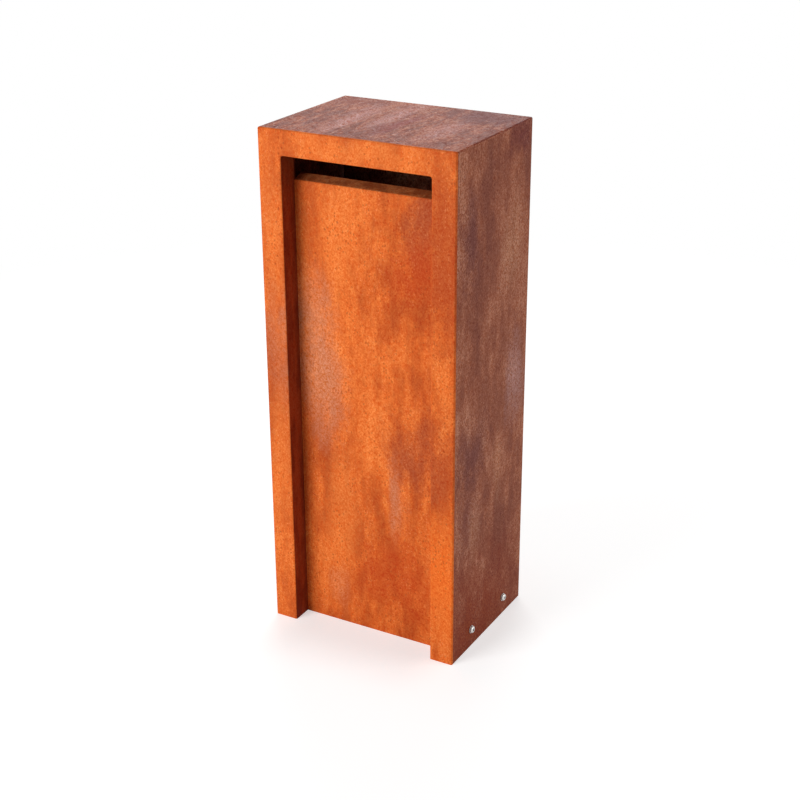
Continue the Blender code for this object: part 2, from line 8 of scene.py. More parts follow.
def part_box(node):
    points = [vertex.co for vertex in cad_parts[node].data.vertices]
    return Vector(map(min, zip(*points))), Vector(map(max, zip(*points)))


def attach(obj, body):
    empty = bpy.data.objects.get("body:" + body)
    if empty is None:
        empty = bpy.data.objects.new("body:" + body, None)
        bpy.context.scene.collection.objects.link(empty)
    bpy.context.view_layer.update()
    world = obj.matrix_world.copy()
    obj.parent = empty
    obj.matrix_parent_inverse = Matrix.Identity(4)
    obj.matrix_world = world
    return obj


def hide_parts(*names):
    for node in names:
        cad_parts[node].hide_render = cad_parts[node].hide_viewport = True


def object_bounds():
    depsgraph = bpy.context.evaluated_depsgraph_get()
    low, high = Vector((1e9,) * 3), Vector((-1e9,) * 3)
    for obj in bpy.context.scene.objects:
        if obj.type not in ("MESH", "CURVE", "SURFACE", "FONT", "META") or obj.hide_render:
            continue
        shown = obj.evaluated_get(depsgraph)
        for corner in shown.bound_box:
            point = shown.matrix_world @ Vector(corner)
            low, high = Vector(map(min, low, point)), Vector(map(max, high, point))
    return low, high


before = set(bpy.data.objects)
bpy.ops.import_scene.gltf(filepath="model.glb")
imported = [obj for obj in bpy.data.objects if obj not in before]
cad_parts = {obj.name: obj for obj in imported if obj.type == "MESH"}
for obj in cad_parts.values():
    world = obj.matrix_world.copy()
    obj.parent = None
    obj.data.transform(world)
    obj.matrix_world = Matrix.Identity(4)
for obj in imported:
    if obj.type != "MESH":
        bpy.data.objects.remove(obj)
cad_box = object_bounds()

# The view: from the front right and a little above, through a long lens, so that the upright
# edges of the letterbox stay almost parallel.
LENS = 68.74
SENSOR = 36.0
VIEW_AZIMUTH = math.radians(29.33)
VIEW_ELEVATION = math.radians(23.13)
VIEW_ROLL = math.radians(-0.28)
VIEW_DISTANCE = 2.847
VIEW_CENTRE = Vector((0.0542, -0.0875, 0.5))

bpy.context.scene.view_settings.view_transform = "Standard"
lens = bpy.data.cameras.new("camera")
lens.lens = LENS
lens.sensor_width = SENSOR
camera = bpy.data.objects.new("camera", lens)
bpy.context.scene.collection.objects.link(camera)
bpy.context.scene.camera = camera
turn = Matrix.Rotation(VIEW_AZIMUTH, 4, "Z") @ Matrix.Rotation(math.pi / 2 - VIEW_ELEVATION, 4, "X")
turn = turn @ Matrix.Rotation(VIEW_ROLL, 4, "Z")
stand_back = Matrix.Translation((0, 0, VIEW_DISTANCE))
camera.matrix_world = Matrix.Translation(VIEW_CENTRE) @ turn @ stand_back


# The light: a soft key from the front left, a wide soft screen behind, a weak one on the right,
# and an even white surround. A white card that faces the key comes out just under white.
SCREEN_AIM = Vector((0, 0, 0.5))


def light_screen(name, azimuth, elevation, distance, size, power):
    """A square of soft light that looks at the letterbox; azimuth 0 is straight in front."""
    lamp = bpy.data.lights.new(name, "AREA")
    lamp.shape = "SQUARE"
    lamp.size = size
    lamp.energy = power
    screen = bpy.data.objects.new(name, lamp)
    bpy.context.scene.collection.objects.link(screen)
    aim = Matrix.Rotation(math.radians(azimuth), 4, "Z")
    aim = aim @ Matrix.Rotation(math.radians(90 - elevation), 4, "X")
    stand_off = Matrix.Translation((0, 0, distance))
    screen.matrix_world = Matrix.Translation(SCREEN_AIM) @ aim @ stand_off


light_screen("key_light", azimuth=-26, elevation=16, distance=4.0, size=2.2, power=118)
light_screen("back_light", azimuth=206, elevation=28, distance=4.0, size=2.6, power=80)
light_screen("side_light", azimuth=106, elevation=22, distance=4.0, size=2.0, power=40)


class Value:
    """A shader socket to reckon with: every expression on values adds its Math nodes."""

    def __init__(self, finish, socket):
        self.finish = finish
        self.socket = socket

    def maths(self, operation, *terms):
        return self.finish.node("Math", {"operation": operation}, dict(enumerate(terms)))

    def __add__(self, other):
        return self.maths("ADD", self, other)

    def __radd__(self, other):
        return self.maths("ADD", other, self)

    def __sub__(self, other):
        return self.maths("SUBTRACT", self, other)

    def __rsub__(self, other):
        return self.maths("SUBTRACT", other, self)

    def __mul__(self, other):
        return self.maths("MULTIPLY", self, other)

    def __rmul__(self, other):
        return self.maths("MULTIPLY", other, self)

    def __abs__(self):
        return self.maths("ABSOLUTE", self)

    def least(self, other):
        return self.maths("MINIMUM", self, other)

    def most(self, other):
        return self.maths("MAXIMUM", self, other)

    def between(self, none, full):
        """0 at none, 1 at full, and a smooth change from one to the other."""
        sockets = {"Value": self, "From Min": none, "From Max": full}
        return self.finish.node("MapRange", {"interpolation_type": "SMOOTHSTEP"}, sockets)


class Finish:
    """The nodes of one material, or of the surround, while they are put together."""

    def __init__(self, owner):
        owner.use_nodes = True
        self.owner = owner
        self.nodes = owner.node_tree.nodes
        self.links = owner.node_tree.links

    def node(self, kind, settings=None, sockets=None, output=0):
        """Adds any node: first its settings, then the values or links of its sockets."""
        made = self.nodes.new(f"ShaderNode{kind}")
        for name, value in (settings or {}).items():
            setattr(made, name, value)
        for name, value in (sockets or {}).items():
            self.feed(made.inputs[name], value)
        return Value(self, made.outputs[output])

    def feed(self, socket, value):
        if isinstance(value, Value):
            self.links.new(value.socket, socket)
        else:
            socket.default_value = value

    def surface(self, **sockets):
        """Feeds the shader: a socket's name is written with _ for each space."""
        for name, value in sockets.items():
            self.feed(self.nodes["Principled BSDF"].inputs[name.replace("_", " ")], value)

    def mix(self, mask, under, over, blend="MIX"):
        """Lays one colour over another where the mask is 1."""
        settings = {"data_type": "RGBA", "blend_type": blend}
        return self.node("Mix", settings, {0: mask, 6: under, 7: over}, output=2)

    def vector(self, operation, first, second):
        return self.node("VectorMath", {"operation": operation}, {0: first, 1: second})

    def length(self, vector):
        return self.node("VectorMath", {"operation": "LENGTH"}, {0: vector}, output="Value")

    def looked_at(self):
        """1 for what the camera, a reflection or glass looks at, and 0 for the light itself."""
        camera_ray = self.node("LightPath", output="Is Camera Ray")
        glossy_ray = self.node("LightPath", output="Is Glossy Ray")
        clear_ray = self.node("LightPath", output="Is Transmission Ray")
        return camera_ray.most(glossy_ray).most(clear_ray)


SURROUND_LIGHT = 0.2
SURROUND_SEEN = 1.0
surround = Finish(bpy.data.worlds.new("surround"))
bpy.context.scene.world = surround.owner
strength = SURROUND_LIGHT + (SURROUND_SEEN - SURROUND_LIGHT) * surround.looked_at()
surround.feed(surround.nodes["Background"].inputs["Strength"], strength)
surround.feed(surround.nodes["Background"].inputs["Color"], (1.0, 1.0, 1.0, 1.0))


# The floor: a plain pale ground under the letterbox, which takes its shadow and turns to plain
# white away from it, with a shadow painted in front of its foot as well. It belongs to the picture
# and not to the letterbox.
FLOOR_REACH = 40.0
FLOOR_BRIGHTNESS = 0.82
FLOOR_LIGHT = 0.62
SHADOW_NEAR = 0.9
SHADOW_AWAY = 0.5
NEAR_REACH = 0.22
# The shadow painted in front of the foot: its reach, where it starts and is full, and its depth.
FOOT_REACH = 0.16
FOOT_FROM = 0.10
FOOT_FULL = 0.02
FOOT_SHADE = 0.12
OVER_WHITE = 1.01
WHITE_FROM = 1.2
WHITE_ALL = 2.6
BLACK = (0.0, 0.0, 0.0, 1.0)
WHITE = (1.0, 1.0, 1.0, 1.0)

bm = bmesh.new()
bmesh.ops.create_grid(bm, x_segments=1, y_segments=1, size=FLOOR_REACH)
ground = bpy.data.meshes.new("ground")
bm.to_mesh(ground)
bm.free()
floor = bpy.data.objects.new("ground", ground)
bpy.context.scene.collection.objects.link(floor)


class Skin(Finish):
    """The finish of one kind of sheet or fastener, laid out in the letterbox's own metres."""

    def __init__(self, name):
        super().__init__(bpy.data.materials.new(name))
        self.place = self.node("TexCoord", output="Object")
        self.across, self.along, self.height = (
            self.node("SeparateXYZ", sockets={0: self.place}, output=axis) for axis in range(3)
        )

    def cloud(self, size, detail, roughness, place=None):
        """Noise whose lumps are about size across, in metres."""
        sockets = {"Vector": place or self.place, "Scale": 1 / size}
        sockets |= {"Detail": detail, "Roughness": roughness}
        return self.node("TexNoise", sockets=sockets)

    def bump(self, height, strength):
        """The normal of a surface that stands this many metres high."""
        return self.node("Bump", sockets={"Height": height, "Distance": 1.0, "Strength": strength})

    def cells(self, size, place=None):
        """Scattered cells: the distance from a cell's middle, and a chance for each cell."""
        sockets = {"Vector": place or self.place, "Scale": 1 / size}
        far = self.node("TexVoronoi", sockets=sockets)
        chance = self.node("TexVoronoi", sockets=sockets, output="Color")
        return far, self.node("SeparateColor", sockets={0: chance})


pale = Skin("pale_ground")
seen = pale.looked_at()
footprint = cad_box[1]
beside = (abs(pale.across) - footprint.x).most(0.0)
before = (abs(pale.along) - footprint.y).most(0.0)
away = pale.length(pale.node("CombineXYZ", sockets={0: beside, 1: before}))
near = away.between(NEAR_REACH, 0.0)
# A shadow painted on the floor in front of the panel's foot, dimming both shares.
painted_foot_shadow = away.between(FOOT_REACH, 0.0) * (footprint.y + pale.along).between(FOOT_FROM, FOOT_FULL)
painted_foot_shadow = painted_foot_shadow * (footprint.x - abs(pale.across)).between(0.0, FOOT_FROM)
white = pale.length(pale.place).between(WHITE_FROM, WHITE_ALL)
shadow = (SHADOW_AWAY + (SHADOW_NEAR - SHADOW_AWAY) * near) * (1 - white)
dimmed = 1 - painted_foot_shadow * FOOT_SHADE
lit_share = FLOOR_BRIGHTNESS * (1 - seen * (1 - shadow)) * dimmed
own_share = seen * (OVER_WHITE - FLOOR_BRIGHTNESS * FLOOR_LIGHT * shadow) * dimmed
pale.surface(
    Base_Color=pale.mix(lit_share, BLACK, WHITE),
    Emission_Color=pale.mix(own_share, BLACK, WHITE),
    Emission_Strength=1.0,
    Roughness=1.0,
    Specular_IOR_Level=0.0,
)
ground.materials.append(pale.owner)


# Left side, top and right side: one sheet of 2 mm weathering steel, folded twice and rusted
# all over. Its patina is browner than the front's, partly as painted shade of the sides, with
# purple and grey clouds and long runs.
def opaque(red, green, blue):
    """A colour as it looks, in steps of 0 to 255, as the shader wants it."""
    def straight(step):
        part = step / 255
        return part / 12.92 if part <= 0.04045 else ((part + 0.055) / 1.055) ** 2.4

    return (straight(red), straight(green), straight(blue), 1.0)


GRAIN_STRETCH = (1.0, 1.0, 0.85)
RUN_STRETCH = (1.0, 1.0, 0.3)
SWIRL_SCALE = 16.0
SWIRL = (0.08, 0.08, 0.14)
TEAR_SCALE = 330.0
TORN = (0.006, 0.006, 0.009)
MIDDLE = (0.5, 0.5, 0.5)
DRIFT_SIZE = 0.12
BLOTCH_SIZE = 0.036
RUN_SIZE = 0.020
MOTTLE_SIZE = 0.011
GRAIN_SIZE = 0.0034
CRUMB_SIZE = 0.0023
DUST_SIZE = 0.0009
PIT_SPACING = 0.0055
FLAKE_SPACING = 0.0036
GRAIN_RELIEF = 0.0002
MOTTLE_RELIEF = 0.0003
CRUMB_RELIEF = 0.00003
DUST_RELIEF = 0.00006
GLINTS_FROM = 1.06
DARKEST = 0.12
RAGGED_FINE = 0.9
RAGGED_COARSE = 1.2
PATCH_EDGE = (1.6, 0.2)
STREAKS = 0.35
HIDDEN_FROM = 0.0010
HIDDEN_FULL = 0.0017
BROWN_DEEP = opaque(130, 66, 46)
BROWN = opaque(169, 97, 68)
BROWN_LIGHT = opaque(194, 127, 98)
PURPLE = opaque(112, 56, 50)
TAN = opaque(206, 142, 108)
GREY_MAUVE = opaque(186, 134, 124)
ROSE_GREY = opaque(208, 152, 142)
RED_BROWN = opaque(138, 52, 14)
ROSE = opaque(150, 60, 52)
# Deep rose; on the top's back corner it is also painted shade where the sheen is weak.
ROSE_DEEP_AND_SHADE = opaque(108, 38, 34)
PIT = opaque(98, 36, 16)
FLAKE = opaque(206, 152, 126)
# Multiplied onto the faces behind the outer skin, inside the box: painted shade.
INSIDE_PAINTED_SHADE = opaque(236, 222, 214)
SIDE_CONTRAST = (1.4, 2.9, 4.3)
TOP_CONTRAST = (-0.2, 0.3, 0.5)
TOP_FROM = 0.004
TOP_FULL = 0.001
TOP_STREAKS = 0.9
TOP_GLINTS = 0.27
TOP_RELIEF = 1.2
SIDE_STRETCH = (1.5, 0.9, 0.5, 1.0)
TOP_STRETCH = (1.7, 0.45, 1.0, 1.0)
# The top's tint is painted light: the top is lit from above and shows a sheen.
TOP_PAINTED_LIGHT_TINT = (1.04, 0.85, 0.80, 1.0)


def dress(material, *nodes):
    """Gives the sheets that keep their shape their finish."""
    for node in nodes:
        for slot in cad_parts[node].material_slots:
            slot.material = material


class Rust(Skin):
    """Weathering steel: soft clouds of several tones under a coat of fine crumbs and pits."""

    def draw_out(self, stretch, start):
        """Lays out the clouds, each drawn out along the axes whose stretch is small."""
        sockets = {"Vector": self.place, "Location": start}
        self.still = self.node("Mapping", sockets=sockets | {"Scale": GRAIN_STRETCH})
        self.drawn = self.node("Mapping", sockets=sockets | {"Scale": stretch})
        sockets = {"Vector": self.drawn, "Scale": SWIRL_SCALE, "Detail": 4.0}
        swirl = self.node("TexNoise", sockets=sockets, output="Color")
        swirl = self.vector("SUBTRACT", swirl, MIDDLE)
        self.warped = self.vector("ADD", self.place, self.vector("MULTIPLY", swirl, SWIRL))
        self.grain = self.cloud(GRAIN_SIZE, 2.0, 0.65, self.still)
        self.mottle = self.cloud(MOTTLE_SIZE, 3.0, 0.6, self.still)
        self.blotch = self.cloud(BLOTCH_SIZE, 4.0, 0.6, self.drawn)
        self.drift = self.cloud(DRIFT_SIZE, 3.0, 0.55, self.drawn)
        self.runs = self.cloud(RUN_SIZE, 3.0, 0.6, self.vector("MULTIPLY", self.drawn, RUN_STRETCH))
        sockets = {"Vector": self.still, "Scale": TEAR_SCALE, "Detail": 5.0, "Roughness": 0.75}
        torn = self.node("TexNoise", sockets=sockets, output="Color")
        torn = self.vector("SUBTRACT", torn, MIDDLE)
        self.torn = self.vector("ADD", self.still, self.vector("MULTIPLY", torn, TORN))
        self.crumbs = self.cells(CRUMB_SIZE, self.torn)[1]
        self.dust = self.cloud(DUST_SIZE, 3.0, 0.7, self.still)

    def patch(self, centre, reach):
        """A ragged, grainy patch with soft edges, of the given half lengths."""
        offset = self.vector("SUBTRACT", self.warped, centre)
        distance = self.length(self.vector("DIVIDE", offset, reach))
        ragged = distance + (self.grain - 0.5) * RAGGED_FINE + (self.mottle - 0.5) * RAGGED_FINE
        ragged = ragged + (self.blotch - 0.5) * RAGGED_COARSE
        return ragged.between(*PATCH_EDGE)

    def patina(self, deep, middle, light, patches, streaks=STREAKS):
        """The colour before the grain: three tones in clouds, and the patches over them."""
        uneven = (self.drift - 0.5) * 0.95 + (self.blotch - 0.5) * 0.6
        uneven = uneven + (self.mottle - 0.5) * 0.12
        cloudy = 1.08 + uneven + (self.runs - 0.5) * streaks
        colour = self.mix(cloudy.between(0.83, 1.21), deep, middle)
        colour = self.mix(cloudy.between(1.03, 1.4), colour, light)
        for tone, strength, centre, reach in patches:
            colour = self.mix(self.patch(centre, reach) * strength, colour, tone)
        return colour

    def grained(self, colour, contrast, pit, flake, open_air=1.0):
        """The grain over the colour, with dark pits and light flakes in clusters.

        The contrast is given for red, green and blue, so that a light grain is also a pale one.
        """
        uneven = (self.crumbs - 0.5) * 0.36 + (self.grain - 0.5) * 0.75
        uneven = uneven + (self.mottle - 0.5) * 0.22 + (self.dust - 0.5) * 0.5
        shades = {i: (1 + share * uneven).most(DARKEST) for i, share in enumerate(contrast)}
        colour = self.mix(1.0, colour, self.node("CombineColor", sockets=shades), blend="MULTIPLY")
        far, chance = self.cells(PIT_SPACING, self.torn)
        cluster = (self.blotch + self.mottle * 0.4).between(0.62, 0.8)
        pits = far.between(0.46, 0.2) * chance.between(0.5, 0.7) * cluster
        colour = self.mix(pits * 0.5, colour, pit)
        far, chance = self.cells(FLAKE_SPACING, self.torn)
        cluster = (self.runs + self.mottle * 0.4).between(0.62, 0.82)
        flakes = far.between(0.42, 0.2) * chance.between(0.55, 0.75) * cluster
        return self.mix(flakes * 0.35 * open_air, colour, flake)

    def behind(self, node, *sides):
        """1 behind the outer skin of a folded piece, whose skin lies on these sides of its box."""
        low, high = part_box(node)
        skins = {
            "left": (self.across, low.x, 1),
            "right": (self.across, high.x, -1),
            "front": (self.along, low.y, 1),
            "back": (self.along, high.y, -1),
            "bottom": (self.height, low.z, 1),
            "top": (self.height, high.z, -1),
        }
        depths = []
        for side in sides:
            reading, face, inwards = skins[side]
            depths.append((reading - face) * inwards)
        depth = depths[0]
        for other in depths[1:]:
            depth = depth.least(other)
        return depth.between(HIDDEN_FROM, HIDDEN_FULL)

    def finished(self, colour, sheen, glints=0.0, relief=1.0):
        """Feeds the shader with the colour, a dull surface with glints, and the rust's height."""
        height = self.grain * GRAIN_RELIEF + self.mottle * MOTTLE_RELIEF
        height = (height + self.crumbs * CRUMB_RELIEF + self.dust * DUST_RELIEF) * relief
        glinting = (self.crumbs + self.grain - GLINTS_FROM) * glints
        self.surface(
            Base_Color=colour,
            Roughness=0.62 + self.mottle * 0.2 - glinting,
            Specular_IOR_Level=sheen,
            Metallic=0.0,
            Normal=self.bump(height, 0.6),
        )


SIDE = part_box("body_wrapper")[1].x
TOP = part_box("body_wrapper")[1].z
WRAPPER_PATCHES = (
    (PURPLE, 0.8, (SIDE, -0.09, 0.825), (0.08, 0.04, 0.07)),
    (TAN, 0.5, (SIDE, 0.08, 0.785), (0.08, 0.04, 0.07)),
    (GREY_MAUVE, 0.7, (SIDE, 0.10, 0.515), (0.08, 0.03, 0.08)),
    (PURPLE, 0.8, (SIDE, -0.085, 0.42), (0.08, 0.06, 0.06)),
    (PURPLE, 0.5, (SIDE, -0.09, 0.27), (0.08, 0.05, 0.09)),
    (TAN, 0.5, (SIDE, 0.03, 0.35), (0.08, 0.015, 0.07)),
    (TAN, 0.4, (SIDE, -0.06, 0.23), (0.08, 0.015, 0.05)),
    (RED_BROWN, 0.95, (SIDE, -0.06, 0.03), (0.08, 0.17, 0.15)),
    (PURPLE, 0.8, (-SIDE, 0.06, 0.72), (0.08, 0.07, 0.09)),
    (TAN, 0.5, (-SIDE, -0.08, 0.86), (0.08, 0.03, 0.09)),
    (GREY_MAUVE, 0.7, (-SIDE, -0.05, 0.55), (0.08, 0.03, 0.11)),
    (PURPLE, 0.7, (-SIDE, -0.10, 0.36), (0.08, 0.05, 0.08)),
    (TAN, 0.5, (-SIDE, 0.08, 0.33), (0.08, 0.015, 0.10)),
    (RED_BROWN, 0.8, (-SIDE, 0.03, 0.03), (0.08, 0.17, 0.12)),
    (ROSE_GREY, 0.9, (-0.085, -0.03, TOP), (0.025, 0.12, 0.05)),
    (ROSE_GREY, 0.9, (-0.02, 0.06, TOP), (0.018, 0.12, 0.05)),
    (ROSE, 0.8, (0.02, -0.02, TOP), (0.02, 0.09, 0.05)),
    # A deep rose patch at the top's back right corner: partly its rust, partly painted shade for a
    # weaker sheen there.
    (ROSE_DEEP_AND_SHADE, 0.9, (0.15, 0.11, TOP), (0.09, 0.06, 0.05)),
    (ROSE_GREY, 0.6, (0.11, -0.02, TOP), (0.03, 0.07, 0.05)),
    (RED_BROWN, 0.7, (-0.15, 0.12, TOP), (0.06, 0.03, 0.05)),
)

wrapper = Rust("rust_brown_folded")
on_top = wrapper.height.between(TOP - TOP_FROM, TOP - TOP_FULL)
wrapper.draw_out(stretch=wrapper.mix(on_top, SIDE_STRETCH, TOP_STRETCH), start=(0.3, 0.1, 0.2))
streaks = STREAKS + TOP_STREAKS * on_top
colour = wrapper.patina(BROWN_DEEP, BROWN, BROWN_LIGHT, WRAPPER_PATCHES, streaks)
# The top is tinted redder, with less green and blue: painted light, for how the lit top looks.
colour = wrapper.mix(on_top, colour, TOP_PAINTED_LIGHT_TINT, blend="MULTIPLY")
# Inside the box, behind the outer skin, the colour is darkened: painted shade.
shade_mask = wrapper.behind("body_wrapper", "left", "right", "top")
colour = wrapper.mix(shade_mask, colour, INSIDE_PAINTED_SHADE, blend="MULTIPLY")
contrast = [side + more * on_top for side, more in zip(SIDE_CONTRAST, TOP_CONTRAST)]
colour = wrapper.grained(colour, contrast, PIT, FLAKE)
glints = TOP_GLINTS * on_top
wrapper.finished(colour, sheen=0.25, glints=glints, relief=1 + TOP_RELIEF * on_top)
dress(wrapper.owner, "body_wrapper")


# The portal and the panel between its legs: two sheets whose front has weathered to a bright
# orange, with greyer and redder clouds. Behind the front skin, on the legs' inner faces, under the
# header, on the panel's lip and on the backs, their colour is darker: painted shade.
ORANGE_DEEP = opaque(180, 74, 25)
ORANGE = opaque(222, 104, 38)
ORANGE_LIGHT = opaque(243, 127, 55)
FRONT_GREY = opaque(206, 130, 94)
FRONT_MAUVE = opaque(172, 80, 46)
FRONT_RED = opaque(200, 76, 24)
FRONT_VIVID = opaque(246, 116, 38)
FRONT_BROWN = opaque(186, 78, 32)
FRONT_PIT = opaque(150, 52, 14)
FRONT_FLAKE = opaque(248, 168, 112)
# Darker tones painted on behind the front skin: shade on the legs' inner faces and under the
# header.
PAINTED_SHADE_DEEP = opaque(127, 48, 21)
PAINTED_SHADE = opaque(155, 67, 30)
# Tones painted on the panel's sloping lip: the shade that the header casts on it.
LIP_SHADE_DEEP = opaque(142, 70, 33)
LIP_SHADE_TONE = opaque(180, 102, 56)
FRONT_CONTRAST = (0.38, 1.6, 3.2)
DRAWN_DOWN = (1.0, 1.0, 0.42)
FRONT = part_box("front_frame")[0].y
LIP_FROM = 0.014
LIP_FULL = 0.010
PANEL_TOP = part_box("front_panel")[1].z

FRONT_PATCHES = (
    (ORANGE_LIGHT, 0.5, (-0.075, FRONT, 0.80), (0.03, 0.1, 0.10)),
    (FRONT_GREY, 0.78, (-0.10, FRONT, 0.53), (0.045, 0.1, 0.12)),
    (FRONT_GREY, 0.5, (-0.115, FRONT, 0.66), (0.03, 0.1, 0.08)),
    (FRONT_MAUVE, 0.8, (0.11, FRONT, 0.84), (0.03, 0.1, 0.06)),
    (FRONT_RED, 0.7, (0.10, FRONT, 0.76), (0.06, 0.1, 0.06)),
    (FRONT_MAUVE, 0.7, (0.115, FRONT, 0.41), (0.075, 0.1, 0.08)),
    (FRONT_GREY, 0.55, (0.062, FRONT, 0.28), (0.015, 0.1, 0.08)),
    (ORANGE_LIGHT, 0.7, (-0.065, FRONT, 0.24), (0.035, 0.1, 0.15)),
    (FRONT_RED, 0.7, (0.06, FRONT, 0.13), (0.09, 0.1, 0.07)),
    (FRONT_GREY, 0.3, (-0.065, FRONT, 0.09), (0.02, 0.1, 0.05)),
    (FRONT_BROWN, 0.75, (0.18, FRONT, 0.82), (0.035, 0.1, 0.17)),
    (FRONT_BROWN, 0.6, (0.18, FRONT, 0.42), (0.035, 0.1, 0.10)),
    (FRONT_VIVID, 0.8, (0.18, FRONT, 0.2), (0.04, 0.1, 0.11)),
    (ORANGE_LIGHT, 0.7, (0.0, FRONT, 0.976), (0.13, 0.1, 0.03)),
    (ORANGE_LIGHT, 0.7, (-0.18, FRONT, 0.80), (0.035, 0.1, 0.10)),
    (FRONT_GREY, 0.3, (-0.18, FRONT, 0.6), (0.03, 0.1, 0.1)),
    (ORANGE_LIGHT, 0.6, (-0.18, FRONT, 0.38), (0.03, 0.1, 0.12)),
)


def front_rust(node, skins, shade_tones, lip_shade=None):
    """The front's orange rust, painted darker behind its skin as shade, with its own shade on the
    lip.
    """
    front = Rust(f"rust_orange_{node}")
    front.draw_out(stretch=DRAWN_DOWN, start=(0.0, 0.5, 0.0))
    # The mask behind the skin, where darker tones are painted on as shade.
    shade_mask = front.behind(node, *skins)
    clouds = (front.blotch + front.runs).between(0.85, 1.15)
    shade = front.mix(clouds, *shade_tones)
    # The lip, in the header's shadow, gets painted shade of its own.
    if lip_shade:
        on_lip = front.height.between(PANEL_TOP - LIP_FROM, PANEL_TOP - LIP_FULL)
        shade = front.mix(on_lip, shade, front.mix(clouds, *lip_shade))
    colour = front.patina(ORANGE_DEEP, ORANGE, ORANGE_LIGHT, FRONT_PATCHES)
    colour = front.mix(shade_mask, colour, shade)
    colour = front.grained(colour, FRONT_CONTRAST, FRONT_PIT, FRONT_FLAKE, open_air=1 - shade_mask)
    front.finished(colour, sheen=0.15)
    dress(front.owner, node)
    return front.owner


PORTAL_SKINS = ("front", "left", "right", "top")
PORTAL_RUST = front_rust("front_frame", PORTAL_SKINS, (PAINTED_SHADE_DEEP, PAINTED_SHADE))
# The panel's back inside the box takes dark brown tones as painted shade; its lip takes the lip's
# painted shade.
front_rust("front_panel", ("front",), (BROWN_DEEP, BROWN), lip_shade=(LIP_SHADE_DEEP, LIP_SHADE_TONE))


# The welds in the opening's two upper corners, where the edges turned back from the header and
# from the legs meet: a bead down each corner, ground round and rusted like the sheet beside it.
LEG_WIDTH = 0.048
HEADER_HEIGHT = 0.048
FOLD_RADIUS = 0.003
FOLD_STEPS = 5
WELD_RADIUS = 0.004
WELD_STEPS = 8
WELD_BITE = 0.0003
WELD_PROUD = 0.00002
SAME_POINT = 0.000001
SHARP = math.radians(30)


def add_piece(name, bm, finish, body, node=None):
    """Sets up a piece with its finish's materials, not its slot name; hides the node it replaces.
    """
    slot, *materials = finish
    mesh = bpy.data.meshes.new(name)
    bm.to_mesh(mesh)
    bm.free()
    for material in materials:
        mesh.materials.append(material)
    mesh.shade_smooth()
    mesh.set_sharp_from_angle(angle=SHARP)
    piece = bpy.data.objects.new(name, mesh)
    bpy.context.scene.collection.objects.link(piece)
    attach(piece, body)
    if node:
        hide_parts(node)


def corner_weld(side):
    """The bead in one corner, with the fold's own rounding at its front; side is 1 or -1."""
    low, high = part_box("front_frame")
    hub = Vector((high.x - LEG_WIDTH - WELD_RADIUS, 0, high.z - HEADER_HEIGHT - WELD_RADIUS))
    front = low.y - WELD_PROUD
    run = [(WELD_RADIUS, high.y - WELD_PROUD)]
    for i in range(FOLD_STEPS + 1):
        angle = math.pi / 2 * i / FOLD_STEPS
        radius = WELD_RADIUS + FOLD_RADIUS * (1 - math.cos(angle))
        run.append((radius, front + FOLD_RADIUS * (1 - math.sin(angle))))
    bm = bmesh.new()
    ring = [bm.verts.new((hub.x + radius, along, hub.z)) for radius, along in run]
    for radius, along in reversed(run):
        ring.append(bm.verts.new((hub.x + 2 * (radius + WELD_BITE), along, hub.z)))
    edges = [bm.edges.new(pair) for pair in zip(ring, ring[1:] + ring[:1])]
    quarter = {"cent": hub, "axis": (0, -1, 0), "angle": math.pi / 2}
    bmesh.ops.spin(bm, geom=ring + edges, steps=WELD_STEPS, **quarter)
    bmesh.ops.holes_fill(bm, edges=bm.edges, sides=0)
    # The outer ring is spun twice too wide, and drawn in to the square corner that it fills
    for vert in bm.verts:
        out = vert.co - hub
        reach = math.hypot(out.x, out.z)
        if reach > WELD_RADIUS + FOLD_RADIUS + WELD_BITE:
            vert.co.x = hub.x + min(out.x, reach / 2)
            vert.co.z = hub.z + min(out.z, reach / 2)
        vert.co.x *= side
    bmesh.ops.remove_doubles(bm, verts=bm.verts, dist=SAME_POINT)
    bmesh.ops.recalc_face_normals(bm, faces=bm.faces)
    return bm


for label, side in (("left", -1), ("right", 1)):
    add_piece(f"corner_weld_{label}", corner_weld(side), ("rust_orange", PORTAL_RUST), "root")


# The back: a fixed lower panel and the door above it, folded from the same sheet as the box and
# rained on from behind, with runs under the door's seam and under the lock.
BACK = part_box("rear_panel")[1].y
SEAM_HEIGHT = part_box("rear_panel")[1].z
LOCK = (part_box("lock_housing")[0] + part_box("lock_housing")[1]) / 2
REAR_PATCHES = (
    (TAN, 0.6, (-0.11, BACK, 0.86), (0.05, 0.06, 0.10)),
    (PURPLE, 0.7, (0.02, BACK, 0.90), (0.09, 0.06, 0.05)),
    (GREY_MAUVE, 0.5, (0.09, BACK, 0.62), (0.03, 0.06, 0.09)),
    (PURPLE, 0.7, (-0.08, BACK, 0.60), (0.07, 0.06, 0.08)),
    (RED_BROWN, 0.8, (LOCK.x, BACK, LOCK.z - 0.055), (0.009, 0.06, 0.05)),
    (RED_BROWN, 0.8, (0.0, BACK, SEAM_HEIGHT - 0.02), (0.20, 0.06, 0.03)),
    (TAN, 0.5, (-0.10, BACK, 0.34), (0.02, 0.06, 0.09)),
    (TAN, 0.5, (0.07, BACK, 0.30), (0.02, 0.06, 0.12)),
    (PURPLE, 0.7, (0.14, BACK, 0.37), (0.05, 0.06, 0.06)),
    (RED_BROWN, 0.9, (0.0, BACK, 0.02), (0.25, 0.06, 0.08)),
)

